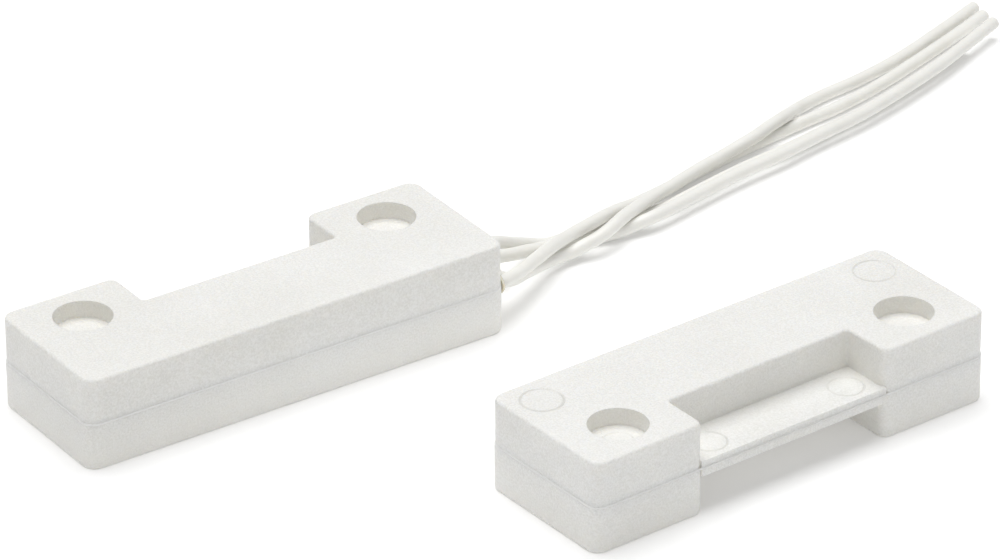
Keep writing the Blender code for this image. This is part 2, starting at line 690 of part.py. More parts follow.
def conductor(name):
    """The bare copper end, from just past the insulation to its joint."""
    stripped, finish = (Vector(point) for point in tail_end(name))
    toward = (finish - stripped).normalized()
    start = stripped + toward * END_GAP
    level = Vector((start.lerp(finish, 0.7).x, finish.y, finish.z))
    return tube(f"conductor_{name[-1]}", [start, start.lerp(finish, 0.35), level, finish], CONDUCTOR_RADIUS)


def exit_glue(name, pair, cutters):
    """A bead of glue on the end face, round the pair of leads that it holds."""
    middle, height = PAIR_EXITS[pair]
    bpy.ops.mesh.primitive_uv_sphere_add(segments=24, ring_count=14, radius=1.0)
    bead = bpy.context.object
    bead.name = name
    bead.rotation_euler = (0.0, math.pi / 2, 0.0)
    bake_transform(bead)
    width = LEAD_SPACING / 2 + LEAD_RADIUS + GLUE_MARGIN
    bead.scale = (GLUE_THICKNESS, width, LEAD_RADIUS + GLUE_MARGIN)
    bead.location = (END, middle, height)
    bake_transform(bead)
    low = (END - 2 * GLUE_THICKNESS, middle - 2 * width, 0.0)
    high = (END + GLUE_SEAT, middle + 2 * width, HEIGHT)
    boolean(bead, box(f"{name}_back", low, high), "DIFFERENCE", cutters)
    for number, side in enumerate((-1, 1)):
        y = middle + side * LEAD_SPACING / 2
        start = (END - GLUE_THICKNESS, y, height)
        end = (END + 2 * GLUE_THICKNESS, y, height)
        radius = LEAD_RADIUS + GLUE_CLEARANCE
        hole = cylinder(f"{name}_hole_{number}", radius, start, end, SMALL_ROUND_STEPS * 2)
        boolean(bead, hole, "DIFFERENCE", cutters)
    return bead


def bar_magnet():
    half_length = MAGNET_LENGTH / 2
    half_width = MAGNET_WIDTH / 2
    low = (-half_length, MAGNET_Y - half_width, MAGNET_BOTTOM)
    high = (half_length, MAGNET_Y + half_width, MAGNET_TOP)
    magnet = box("bar_magnet", low, high)
    bevel = magnet.modifiers.new("chamfer", "BEVEL")
    bevel.width = MAGNET_CHAMFER
    bevel.segments = 1
    return magnet


def magnet_pad():
    half_length = MAGNET_LENGTH / 2 - PAD_MARGIN
    half_width = MAGNET_WIDTH / 2 - PAD_MARGIN
    low = (-half_length, MAGNET_Y - half_width, PAD_BOTTOM)
    high = (half_length, MAGNET_Y + half_width, PAD_BOTTOM + PAD_THICKNESS)
    return box("magnet_pad", low, high)


def finish(obj, parts, surface, parent=None):
    """Puts a finished piece in the parts' collection with its material, and on its unit's frame."""
    move_to(obj, parts)
    obj.data.materials.clear()
    obj.data.materials.append(surface)
    if obj.type == "MESH":
        obj.data.shade_smooth()
        obj.data.set_sharp_from_angle(angle=math.radians(35.0))
    if parent:
        obj.parent = parent


def unit_frame(name, parts):
    frame = bpy.data.objects.new(name, None)
    parts.objects.link(frame)
    return frame


def place_magnet_unit(frame, helpers):
    """Turns and moves the magnet unit, and the helpers that cut it, to where it stands."""
    for helper in helpers:
        helper.parent = frame
    frame.location = (MAGNET_UNIT_X, MAGNET_UNIT_Y, 0.0)
    frame.rotation_euler = Euler((0.0, 0.0, MAGNET_UNIT_TURN))


def main():
    clear_scene()
    parts = new_collection("magnetic_door_contact")
    cutters = new_collection("cutters")
    white = material("white_plastic", (0.88, 0.87, 0.83), 0.45)
    insulation = material("white_insulation", (0.9, 0.89, 0.84), 0.4)
    copper = material("tinned_copper", (0.72, 0.62, 0.5), 0.3, 1.0)
    solder = material("solder", (0.7, 0.7, 0.71), 0.35, 1.0)
    glass = material("green_glass", (0.55, 0.72, 0.58), 0.08, alpha=0.4)
    steel = material("plated_reed", (0.8, 0.79, 0.76), 0.25, 1.0)
    glue = material("yellow_glue", (0.85, 0.8, 0.6), 0.25)
    sleeve = material("clear_sleeve", (0.8, 0.8, 0.78), 0.3)
    ferrite = material("ferrite", (0.1, 0.1, 0.11), 0.6)
    foam = material("foam_pad", (0.9, 0.9, 0.86), 0.9)

    switch = unit_frame("switch_unit", parts)
    finish(switch_base(cutters), parts, white, switch)
    finish(switch_cover(cutters), parts, white, switch)
    finish(reed_glass(), parts, glass, switch)
    finish(reed_blade("reed_blade_left", -1, cutters), parts, steel, switch)
    finish(reed_blade("reed_blade_right", 1, cutters), parts, steel, switch)
    finish(solder_joint("solder_left", -1), parts, solder, switch)
    finish(solder_joint("solder_right", 1), parts, solder, switch)
    finish(tamper_sleeve(), parts, sleeve, switch)
    finish(tamper_joint(), parts, solder, switch)
    finish(exit_glue("glue_front", "front", cutters), parts, glue, switch)
    finish(exit_glue("glue_rear", "rear", cutters), parts, glue, switch)
    for name in LEAD_EXITS:
        finish(lead(name), parts, insulation, switch)
        finish(lead_tail(name), parts, insulation, switch)
        finish(conductor(name), parts, copper, switch)

    before = set(cutters.objects)
    magnet = unit_frame("magnet_unit", parts)
    finish(magnet_base(cutters), parts, white, magnet)
    finish(magnet_cover(cutters), parts, white, magnet)
    finish(bar_magnet(), parts, ferrite, magnet)
    finish(magnet_pad(), parts, foam, magnet)
    place_magnet_unit(magnet, [item for item in cutters.objects if item not in before])


main()
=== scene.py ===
"""The magnetic door contact dressed for the picture: camera, light, leads, and materials for every piece.

Lengths are in millimetres and multiplied by MM. Those of the lights, the floor and the camera's clipping
are in metres. The housings keep their CAD solids, and a fine strip of weld flash runs along each parting
line. The leads are redrawn as smooth curves from the exits of the part's source. Their routes were fitted
to the photo after the part's own. They lie within 1.7 mm of those, but lead_4 ends 5 mm sooner. Their cut
ends get the strands that show there.
"""

import math

import bmesh
import bpy
from mathutils import Matrix, Vector
from mathutils.geometry import interpolate_bezier


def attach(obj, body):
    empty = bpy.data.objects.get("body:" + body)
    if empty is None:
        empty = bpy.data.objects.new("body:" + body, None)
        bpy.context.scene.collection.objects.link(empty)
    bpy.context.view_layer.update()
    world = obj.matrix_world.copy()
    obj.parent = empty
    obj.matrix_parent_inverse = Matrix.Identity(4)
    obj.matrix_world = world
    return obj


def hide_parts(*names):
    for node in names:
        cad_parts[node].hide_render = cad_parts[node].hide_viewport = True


MM = 0.001

# The housings' sizes, as in the part's source
LENGTH = 60.0
WIDTH = 20.5
HEIGHT = 12.2
PARTING_HEIGHT = 6.2
UPPER_FLANGE = 0.9
COVER_INSET = 0.1
END_CORNER_RADIUS = 1.8
SCREW_FROM_END = 8.15
SCREW_FROM_BACK = 6.15
COUNTERBORE_DEPTH = 2.3
END = LENGTH / 2
SIDE = WIDTH / 2
FLANGE_TOP = PARTING_HEIGHT + UPPER_FLANGE
COUNTERBORE_FLOOR = HEIGHT - COUNTERBORE_DEPTH

# Where the magnet unit stands, and how it is turned
MAGNET_UNIT_PLACE = Vector((37.75, -48.15))
MAGNET_UNIT_TURN = math.radians(180.0 + 3.05)

# The mould's ejector marks on the magnet unit's upper half, each by its place there
TOP_EJECTOR_MARKS = [(-25.5, -5.7), (25.5, -5.7)]
TOP_EJECTOR_RADIUS = 2.6
FLANGE_EJECTOR_MARKS = [(-10.5, 7.0), (10.5, 7.0)]
FLANGE_EJECTOR_RADIUS = 2.2
COUNTERBORE_MARK = (END - SCREW_FROM_END, SIDE - SCREW_FROM_BACK)
COUNTERBORE_MARK_RADIUS = 1.9
MARK_WIDTH = 0.2
MARK_REACH = 0.3

# The weld's flash: each corner of its section, by its distance in from the lower half's wall and its height
# over the parting line. On the switch unit it starts past the rear exit and stops before the front one.
FLASH_SINKING = 0.03
FLASH_SECTION = [
    (0.02, -0.17), (-0.03, -0.1), (COVER_INSET + FLASH_SINKING, 0.06), (COVER_INSET + FLASH_SINKING, -0.15),
]
FLASH_START_Y = 2.4
FLASH_POINTS_LEFT_OUT = 3
CORNER_STEPS = 6

# Leads, with their exits as in the part's source
LEAD_RADIUS = 0.85
LEAD_SPACING = 2.05
LEAD_STRAIGHT = 0.5
GLUE_COVER = 0.6
FRONT_EXIT_Y = -6.9
REAR_EXIT_Y = -0.975
FRONT_EXIT_DROP = 0.6
FRONT_EXIT_Z = PARTING_HEIGHT - FRONT_EXIT_DROP
LEAD_EXIT_X = END + GLUE_COVER
LEAD_EXITS = {
    "lead_1": (FRONT_EXIT_Y - LEAD_SPACING / 2, FRONT_EXIT_Z),
    "lead_2": (FRONT_EXIT_Y + LEAD_SPACING / 2, FRONT_EXIT_Z),
    "lead_3": (REAR_EXIT_Y - LEAD_SPACING / 2, PARTING_HEIGHT),
    "lead_4": (REAR_EXIT_Y + LEAD_SPACING / 2, PARTING_HEIGHT),
}
CURVE_STEPS = 10
TUBE_STEPS = 7
LENGTH_STEPS = 20

# The cut strands at a lead's end: one in the middle and the others round it, every third one longest
STRAND_RADIUS = 0.1
STRAND_TIP_RADIUS = 0.093
STRAND_SPACING = 0.205
STRANDS_ROUND = 6
STRAND_REACH = 0.12
STRAND_REACH_STEP = 0.03
STRAND_SIDES = 16

# The leads' routes, fitted to the photo: X counted from the housing's end face, and Z from the floor
LEAD_ROUTES = {
    "lead_1": [
        (3.8, -6.8, 5.3), (7.5, -4.8, 4.9), (13.3, -1.2, 3.85), (16.8, 0.7, 3.2), (20.0, 1.9, 2.9),
        (23.2, 2.9, 2.74), (26.7, 4.4, 2.07), (30.1, 5.7, 1.25), (33.2, 6.6, 0.9), (37.2, 7.4, 0.87),
        (41.2, 8.4, 0.87), (45.8, 9.4, 0.87), (50.4, 10.2, 0.87), (55.8, 11.1, 0.87), (61.3, 11.9, 0.87),
        (68.4, 12.8, 0.87), (76.4, 14.7, 0.87), (85.1, 17.5, 0.87), (94.3, 20.7, 0.87), (99.9, 22.8, 0.87),
    ],
    "lead_2": [
        (3.6, -5.5, 3.9), (6.9, -3.9, 3.1), (10.4, -2.3, 2.4), (13.7, -1.0, 1.75), (16.2, -0.6, 1.55),
        (18.4, -0.7, 2), (20.2, -0.9, 2.55), (22.4, -0.4, 2.95), (25.0, 0.7, 3.15), (28.2, 2.2, 2.95),
        (31.9, 3.8, 2.6), (36.5, 5.5, 2.3), (41.8, 7.2, 2.25), (46.4, 8.2, 2.4), (49.6, 8.8, 2.7),
        (52.4, 9.5, 2.8), (55.5, 10.8, 2.7), (59.3, 12.3, 2.47), (63.3, 15.0, 1.2), (67.8, 16.4, 0.87),
        (75.1, 17.4, 0.87), (83.2, 19.3, 0.87), (92.2, 22.4, 0.87), (100.3, 25.4, 0.87),
    ],
    "lead_3": [
        (4.5, -0.8, 4.7), (7.2, 0.0, 3.8), (11.1, 0.9, 2.8), (13.8, 1.5, 2.1), (16.3, 1.9, 1.5),
        (19.5, 2.0, 1), (22.3, 1.6, 0.95), (24.9, 1.0, 1.25), (27.2, 0.7, 1.6), (29.5, 0.5, 1.95),
        (32.7, 1.0, 2), (37.6, 2.1, 2), (45.6, 3.7, 2), (52.7, 4.7, 2), (60.2, 6.2, 2),
        (67.7, 7.5, 2.1), (75.8, 9.7, 2.2), (84.7, 12.7, 2.2), (92.1, 15.8, 2.2), (98.0, 18.3, 2.2),
    ],
    "lead_4": [
        (5.5, 1.1, 5.6), (8.9, 2.1, 4), (13.0, 3.6, 1.9), (15.4, 3.8, 1), (17.7, 3.8, 0.87),
        (20.7, 3.75, 0.87), (23.5, 3.2, 0.87), (26.6, 2.8, 0.87), (28.8, 2.9, 0.87), (33.5, 3.2, 0.87),
        (39.3, 4.4, 0.87), (47.3, 6.0, 0.87), (54.3, 6.9, 0.87), (61.7, 8.2, 0.87), (69.3, 9.6, 0.87),
        (77.6, 11.9, 0.87), (86.4, 14.9, 0.87), (91.8, 17.0, 0.87),
    ],
}

# Camera, found by fitting the straight edges of both units
CAMERA_PLACE = Vector((-380.34, -610.96, 412.91))
CAMERA_YAW = 0.5981
CAMERA_PITCH = 0.5087
CAMERA_ROLL = -0.0037
FOCAL_PIXELS = 6796.0
IMAGE_WIDTH = 1000.0
SENSOR_WIDTH = 36.0
CLIP_START = 0.05
CLIP_END = 20.0

# Studio: each light's name, place, target, size and power
LIGHTS = [
    ("overhead", (0.05, 0.12, 0.9), (0.05, -0.02, 0.0), 0.9, 7.2),
    ("front", (-0.3, -0.85, 0.5), (0.04, -0.02, 0.0), 0.6, 0.3),
]
WORLD_STRENGTH = 0.34
FLOOR_GLOW = 0.13
FLOOR_HALF = 6.0

# Colours as linear red, green and blue, the darkest and the lightest of each material
HOUSING_COLOURS = ((0.80, 0.79, 0.75), (0.97, 0.965, 0.94))
# Painted light: a lighter, warmer colour given to the housings in holes and corners, for the light that
# bounces around in them
PAINTED_HOLE_LIGHT = (1.0, 0.98, 0.92)
# Painted highlight: the weld's strip is lighter than the housing, for the bright line along the parting line
FLASH_HIGHLIGHT_COLOURS = ((0.93, 0.925, 0.91), (0.98, 0.98, 0.97))
INSULATION_COLOURS = ((0.84, 0.83, 0.78), (0.96, 0.955, 0.92))
CONDUCTOR_COLOURS = ((0.55, 0.45, 0.36), (0.78, 0.70, 0.60))
SOLDER_COLOURS = ((0.48, 0.48, 0.49), (0.72, 0.72, 0.73))
REED_COLOURS = ((0.58, 0.56, 0.52), (0.80, 0.79, 0.75))
GLUE_COLOURS = ((0.80, 0.73, 0.55), (0.91, 0.87, 0.74))
GLASS_COLOURS = ((0.50, 0.74, 0.56), (0.62, 0.83, 0.66))
SLEEVE_COLOURS = ((0.78, 0.78, 0.75), (0.90, 0.90, 0.88))
FERRITE_COLOURS = ((0.018, 0.018, 0.02), (0.075, 0.075, 0.08))
FOAM_COLOURS = ((0.55, 0.55, 0.52), (0.86, 0.86, 0.82))
FLOOR_COLOURS = ((0.97, 0.97, 0.97), (0.99, 0.99, 0.99))
WHITE = (1.0, 1.0, 1.0, 1.0)

# How far light of each colour spreads under a surface, against the material's own scale
PLASTIC_SPREAD = (1.0, 0.9, 0.75)
GLUE_SPREAD = (1.0, 0.8, 0.5)

# Stretches of a noise's values that are drawn out to a full range
MOST_OF_NOISE = (0.3, 0.7)
MIDDLE_OF_NOISE = (0.35, 0.65)

# The CAD nodes' meshes
WELD_DISTANCE = 1e-6
SHARP_ANGLE = math.radians(35.0)
NORMAL_WEIGHT = 100


def add_object(name, data):
    """A new object of the scene that holds this curve, mesh, light or camera."""
    obj = bpy.data.objects.new(name, data)
    bpy.context.scene.collection.objects.link(obj)
    return obj


def in_switch_unit(x, y):
    """A point of the switch unit's own frame, which is the row frame."""
    return Vector((x, y))


def in_magnet_unit(x, y):
    """A point of the magnet unit's own frame, in the row frame."""
    cosine = math.cos(MAGNET_UNIT_TURN)
    sine = math.sin(MAGNET_UNIT_TURN)
    return MAGNET_UNIT_PLACE + Vector((x * cosine - y * sine, x * sine + y * cosine))


def make_camera():
    data = bpy.data.cameras.new("camera")
    data.sensor_width = SENSOR_WIDTH
    data.lens = FOCAL_PIXELS / IMAGE_WIDTH * SENSOR_WIDTH
    data.clip_start = CLIP_START
    data.clip_end = CLIP_END
    camera = add_object("camera", data)
    level = math.cos(CAMERA_PITCH)
    ahead = Vector((math.sin(CAMERA_YAW) * level, math.cos(CAMERA_YAW) * level, -math.sin(CAMERA_PITCH)))
    right = Vector((math.cos(CAMERA_YAW), -math.sin(CAMERA_YAW), 0.0))
    up = right.cross(ahead)
    rolled_right = right * math.cos(CAMERA_ROLL) + up * math.sin(CAMERA_ROLL)
    rolled_up = up * math.cos(CAMERA_ROLL) - right * math.sin(CAMERA_ROLL)
    camera.matrix_world = Matrix.Translation(CAMERA_PLACE * MM) @ Matrix(
        (rolled_right, rolled_up, -ahead)
    ).transposed().to_4x4()
    bpy.context.scene.camera = camera


def area_light(name, place, target, size, power):
    """A round white light that points at its target."""
    data = bpy.data.lights.new(name, "AREA")
    data.shape = "DISK"
    data.size = size
    data.energy = power
    light = add_object(name, data)
    light.location = place
    light.rotation_euler = (Vector(target) - Vector(place)).to_track_quat("-Z", "Y").to_euler()


def make_lights():
    world = bpy.data.worlds.new("studio")
    world.use_nodes = True
    background = world.node_tree.nodes["Background"]
    background.inputs["Color"].default_value = WHITE
    background.inputs["Strength"].default_value = WORLD_STRENGTH
    bpy.context.scene.world = world
    for light in LIGHTS:
        area_light(*light)
    view = bpy.context.scene.view_settings
    view.view_transform = "Standard"
    view.look = "None"


class Surface:
    """A material's node tree with short calls for the nodes used here."""

    def __init__(self, name):
        self.material = bpy.data.materials.new(name)
        self.material.use_nodes = True
        self.tree = self.material.node_tree
        self.shader = self.tree.nodes["Principled BSDF"]
        self.bumps = None
        coordinates = self.tree.nodes.new("ShaderNodeTexCoord")
        self.place = self.scaled(coordinates.outputs["Object"], 1.0 / MM)

    def link(self, source, target):
        self.tree.links.new(source, target)

    def scaled(self, vector, factor):
        node = self.tree.nodes.new("ShaderNodeVectorMath")
        node.operation = "SCALE"
        self.link(vector, node.inputs[0])
        node.inputs["Scale"].default_value = factor
        return node.outputs[0]

    def math(self, operation, first, second=0.0, third=0.0, clamp=False):
        node = self.tree.nodes.new("ShaderNodeMath")
        node.operation = operation
        node.use_clamp = clamp
        for socket, value in zip(node.inputs, (first, second, third)):
            if isinstance(value, (int, float)):
                socket.default_value = value
            else:
                self.link(value, socket)
        return node.outputs[0]

    def noise(self, scale, detail=2.0, roughness=0.5, place=None):
        """Noise of this many features a millimetre."""
        node = self.tree.nodes.new("ShaderNodeTexNoise")
        node.inputs["Scale"].default_value = scale
        node.inputs["Detail"].default_value = detail
        node.inputs["Roughness"].default_value = roughness
        self.link(place or self.place, node.inputs["Vector"])
        return node.outputs["Fac"]

    def between(self, factor, low, high):
        """A colour between two, by a factor from 0 to 1. The second may be another node's output."""
        node = self.tree.nodes.new("ShaderNodeMix")
        node.data_type = "RGBA"
        self.link(factor, node.inputs["Factor"])
        node.inputs[6].default_value = (*low, 1.0)
        if isinstance(high, tuple):
            node.inputs[7].default_value = (*high, 1.0)
        else:
            self.link(high, node.inputs[7])
        return node.outputs[2]

    def range(self, value, source, target):
        """The value with one stretch of numbers drawn out or pressed into another."""
        node = self.tree.nodes.new("ShaderNodeMapRange")
        self.link(value, node.inputs["Value"])
        node.inputs["From Min"].default_value = source[0]
        node.inputs["From Max"].default_value = source[1]
        node.inputs["To Min"].default_value = target[0]
        node.inputs["To Max"].default_value = target[1]
        return node.outputs["Result"]

    def openness(self, reach):
        """1 on an open face, and less in a hole or corner within this reach in millimetres."""
        node = self.tree.nodes.new("ShaderNodeAmbientOcclusion")
        node.inputs["Distance"].default_value = reach * MM
        return node.outputs["AO"]

    def bump(self, height, depth, strength):
        """Adds a bump of this depth in millimetres on top of those already there."""
        node = self.tree.nodes.new("ShaderNodeBump")
        node.inputs["Strength"].default_value = strength
        node.inputs["Distance"].default_value = depth * MM
        self.link(height, node.inputs["Height"])
        if self.bumps:
            self.link(self.bumps, node.inputs["Normal"])
        self.bumps = node.outputs["Normal"]
        self.link(self.bumps, self.shader.inputs["Normal"])

    def set(self, **values):
        for name, value in values.items():
            socket = self.shader.inputs[name.replace("_", " ")]
            if isinstance(value, (int, float, tuple)):
                socket.default_value = value
            else:
                self.link(value, socket)

    def ring(self, centre, radius, height):
        """1 on a thin ring at this height, less where noise breaks it up, and 0 away from it."""
        parts = self.tree.nodes.new("ShaderNodeSeparateXYZ")
        self.link(self.place, parts.inputs[0])
        along = self.math("SUBTRACT", parts.outputs[0], centre[0])
        across = self.math("SUBTRACT", parts.outputs[1], centre[1])
        along_square = self.math("MULTIPLY", along, along)
        across_square = self.math("MULTIPLY", across, across)
        from_centre = self.math("SQRT", self.math("ADD", along_square, across_square))
        from_ring = self.math("ABSOLUTE", self.math("SUBTRACT", from_centre, radius))
        line = self.range(from_ring, (0.0, MARK_WIDTH), (1.0, 0.0))
        off = self.math("ABSOLUTE", self.math("SUBTRACT", parts.outputs[2], height))
        patchy = self.range(self.noise(scale=0.25, detail=1.0), (0.40, 0.56), (0.35, 1.0))
        at_height = self.math("LESS_THAN", off, MARK_REACH)
        return self.math("MULTIPLY", self.math("MULTIPLY", line, patchy), at_height)


def housing_surface(name, rings=()):
    """White moulded plastic: a fine grain, a faint flow tint, the mould's ejector marks with painted shade
    along them, and painted light that lightens and warms holes and corners.
    """
    surface = Surface(name)
    flow = surface.range(surface.noise(scale=0.05, detail=3.0), MIDDLE_OF_NOISE, (0.0, 1.0))
    grain_noise = surface.noise(scale=4.0, detail=3.0, roughness=0.6)
    grain = surface.range(grain_noise, MIDDLE_OF_NOISE, (0.0, 1.0))
    tint = surface.math("MULTIPLY_ADD", flow, 0.35, surface.math("MULTIPLY", grain, 0.65))
    marks = None
    for centre, radius, height in rings:
        mark = surface.ring(centre, radius, height)
        marks = surface.math("MAXIMUM", marks, mark) if marks else mark
    if marks:
        # Painted shade: each mark's ring is darkened in the colour, as the shade along its shallow edge; the
        # bump below draws the mark itself
        tint = surface.math("SUBTRACT", tint, surface.math("MULTIPLY", marks, 1.1), clamp=True)
        surface.bump(surface.math("SUBTRACT", 1.0, marks), depth=0.09, strength=1.0)
    open_colour = surface.between(tint, *HOUSING_COLOURS)
    # Painted light: where the face is shut in, the colour turns to the lighter, warmer hole colour
    colour = surface.between(surface.openness(reach=5.0), PAINTED_HOLE_LIGHT, open_colour)
    surface.bump(grain, depth=0.045, strength=1.0)
    surface.bump(surface.noise(scale=1.1), depth=0.02, strength=0.6)
    roughness = surface.range(grain, (0.0, 1.0), (0.42, 0.58))
    surface.set(Base_Color=colour, Roughness=roughness, IOR=1.5)
    surface.set(Subsurface_Weight=0.3, Subsurface_Scale=0.0015, Subsurface_Radius=PLASTIC_SPREAD)
    return surface.material


def flash_surface():
    """The melted plastic of the weld, smoother than the grained walls, and lighter as a painted highlight
    along the parting line.
    """
    surface = Surface("housing_flash")
    uneven = surface.noise(scale=0.8)
    surface.bump(uneven, depth=0.02, strength=0.5)
    surface.set(Base_Color=surface.between(uneven, *FLASH_HIGHLIGHT_COLOURS))
    surface.set(Roughness=surface.range(uneven, MOST_OF_NOISE, (0.3, 0.4)), IOR=1.5)
    return surface.material


def insulation_surface():
    """Soft white insulation, a little uneven along its length."""
    surface = Surface("insulation_white")
    uneven = surface.noise(scale=0.35, detail=3.0)
    fine = surface.noise(scale=6.0)
    tint = surface.math("MULTIPLY_ADD", uneven, 0.7, surface.math("MULTIPLY", fine, 0.3))
    surface.bump(uneven, depth=0.03, strength=0.6)
    surface.bump(fine, depth=0.006, strength=0.7)
    surface.set(Base_Color=surface.between(tint, *INSULATION_COLOURS))
    surface.set(Roughness=surface.range(fine, MOST_OF_NOISE, (0.32, 0.46)), IOR=1.52)
    surface.set(Subsurface_Weight=0.1, Subsurface_Scale=0.0005, Subsurface_Radius=PLASTIC_SPREAD)
    return surface.material


def glue_surface():
    """A glossy, slightly yellow bead with small bubbles."""
    surface = Surface("glue_amber")
    bubbles = surface.noise(scale=1.6)
    surface.bump(bubbles, depth=0.08, strength=0.5)
    surface.set(Base_Color=surface.between(bubbles, *GLUE_COLOURS))
    surface.set(Roughness=surface.range(bubbles, (0.2, 0.8), (0.14, 0.3)), IOR=1.5)
    surface.set(Subsurface_Weight=0.3, Subsurface_Scale=0.0008, Subsurface_Radius=GLUE_SPREAD)
    return surface.material


def metal_surface(name, colours, roughness, grain_scale, grain_depth):
    """Bare metal with a grain that lightens it in spots and makes it glossier or duller there."""
    surface = Surface(name)
    grain = surface.noise(scale=grain_scale, detail=3.0, roughness=0.6)
    surface.bump(grain, depth=grain_depth, strength=0.7)
    surface.set(Base_Color=surface.between(grain, *colours), Metallic=1.0)
    surface.set(Roughness=surface.range(grain, MOST_OF_NOISE, roughness))
    return surface.material


def drawn_metal_surface():
    """Plated reed metal, with the fine lines of drawing and rolling along X."""
    surface = Surface("reed_plated")
    stretch = surface.tree.nodes.new("ShaderNodeVectorMath")
    stretch.operation = "MULTIPLY"
    surface.link(surface.place, stretch.inputs[0])
    stretch.inputs[1].default_value = (0.3, 9.0, 9.0)
    lines = surface.noise(scale=1.0, detail=3.0, roughness=0.6, place=stretch.outputs[0])
    surface.bump(lines, depth=0.01, strength=0.6)
    surface.set(Base_Color=surface.between(lines, *REED_COLOURS), Metallic=1.0)
    surface.set(Roughness=surface.range(lines, MOST_OF_NOISE, (0.2, 0.36)))
    return surface.material


def glass_surface():
    """Green infrared-absorbing tube glass, with slight waviness."""
    surface = Surface("reed_glass_green")
    wave = surface.noise(scale=0.5)
    surface.bump(wave, depth=0.03, strength=0.4)
    surface.set(Base_Color=surface.between(wave, *GLASS_COLOURS))
    surface.set(Roughness=0.04, IOR=1.51, Transmission_Weight=0.9)
    return surface.material


def sleeve_surface():
    """Clear heat-shrink sleeve."""
    surface = Surface("sleeve_clear")
    ripple = surface.noise(scale=0.9)
    surface.bump(ripple, depth=0.05, strength=0.5)
    surface.set(Base_Color=surface.between(ripple, *SLEEVE_COLOURS))
    surface.set(Roughness=surface.range(ripple, MOST_OF_NOISE, (0.18, 0.34)))
    surface.set(IOR=1.48, Transmission_Weight=0.5)
    return surface.material


def ferrite_surface():
    """Sintered ferrite: nearly black, with a dry grain and small pits."""
    surface = Surface("ferrite_sintered")
    grain = surface.noise(scale=4.0, detail=4.0, roughness=0.65)
    pits = surface.math("LESS_THAN", surface.noise(scale=1.3), 0.33)
    surface.bump(grain, depth=0.03, strength=0.8)
    surface.bump(surface.math("SUBTRACT", 1.0, pits), depth=0.04, strength=0.6)
    surface.set(Base_Color=surface.between(grain, *FERRITE_COLOURS))
    surface.set(Roughness=surface.range(grain, MOST_OF_NOISE, (0.5, 0.75)))
    return surface.material


def foam_surface():
    """Open-cell foam tape."""
    surface = Surface("foam_open_cell")
    node = surface.tree.nodes.new("ShaderNodeTexVoronoi")
    node.inputs["Scale"].default_value = 4.0
    surface.link(surface.place, node.inputs["Vector"])
    cells = node.outputs["Distance"]
    surface.bump(cells, depth=0.12, strength=0.9)
    surface.set(Base_Color=surface.between(cells, *FOAM_COLOURS), Roughness=0.9)
    return surface.material


def floor_surface():
    """White paper that glows faintly, as on a light table."""
    surface = Surface("floor_white")
    paper = surface.noise(scale=0.02)
    surface.set(Base_Color=surface.between(paper, *FLOOR_COLOURS), Roughness=0.9)
    surface.set(Specular_IOR_Level=0.1, Emission_Color=WHITE, Emission_Strength=FLOOR_GLOW)
    return surface.material


def make_floor():
    mesh = bpy.data.meshes.new("floor")
    corners = [(x * FLOOR_HALF, y * FLOOR_HALF, 0.0) for x, y in ((-1, -1), (1, -1), (1, 1), (-1, 1))]
    mesh.from_pydata(corners, [], [(0, 1, 2, 3)])
    floor = add_object("floor", mesh)
    mesh.materials.append(floor_surface())


def dress(node, material):
    """A CAD node's own mesh with even normals and a material."""
    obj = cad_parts[node]
    obj.data.polygons.foreach_set("use_smooth", [True] * len(obj.data.polygons))
    weld = obj.modifiers.new("weld", "WELD")
    weld.merge_threshold = WELD_DISTANCE
    split = obj.modifiers.new("sharp_edges", "EDGE_SPLIT")
    split.split_angle = SHARP_ANGLE
    even = obj.modifiers.new("even_normals", "WEIGHTED_NORMAL")
    even.weight = NORMAL_WEIGHT
    obj.data.materials.clear()
    obj.data.materials.append(material)


def lead_points(name):
    """The lead's route in metres, from its exit to its cut end."""
    start = Vector((LEAD_EXIT_X, *LEAD_EXITS[name]))
    straight = Vector((LEAD_EXIT_X + LEAD_STRAIGHT, *LEAD_EXITS[name]))
    route = [Vector((END + x, along, up)) for x, along, up in LEAD_ROUTES[name]]
    return [point * MM for point in (start, straight, *route)]


def handles(points, index):
    """A point's two curve handles, which lie along the line between its neighbours."""
    point = points[index]
    before = points[max(index - 1, 0)]
    after = points[min(index + 1, len(points) - 1)]
    along = (after - before).normalized()
    return point - along * (point - before).length / 3, point + along * (after - point).length / 3


def lead_curve(name, points):
    """A smooth round tube that passes through every point."""
    curve = bpy.data.curves.new(f"{name}_curve", "CURVE")
    curve.dimensions = "3D"
    curve.resolution_u = CURVE_STEPS
    curve.bevel_depth = LEAD_RADIUS * MM
    curve.bevel_resolution = TUBE_STEPS
    curve.use_fill_caps = True
    spline = curve.splines.new("BEZIER")
    spline.bezier_points.add(len(points) - 1)
    for index, knot in enumerate(spline.bezier_points):
        knot.co = points[index]
        knot.handle_left, knot.handle_right = handles(points, index)
    return add_object(f"{name}_insulation", curve)


def curve_length(points):
    """The length of the curve that lead_curve draws through the points."""
    length = 0.0
    for index in range(len(points) - 1):
        leaving = handles(points, index)[1]
        arriving = handles(points, index + 1)[0]
        steps = interpolate_bezier(points[index], leaving, arriving, points[index + 1], LENGTH_STEPS + 1)
        length += sum((after - before).length for before, after in zip(steps, steps[1:]))
    return length


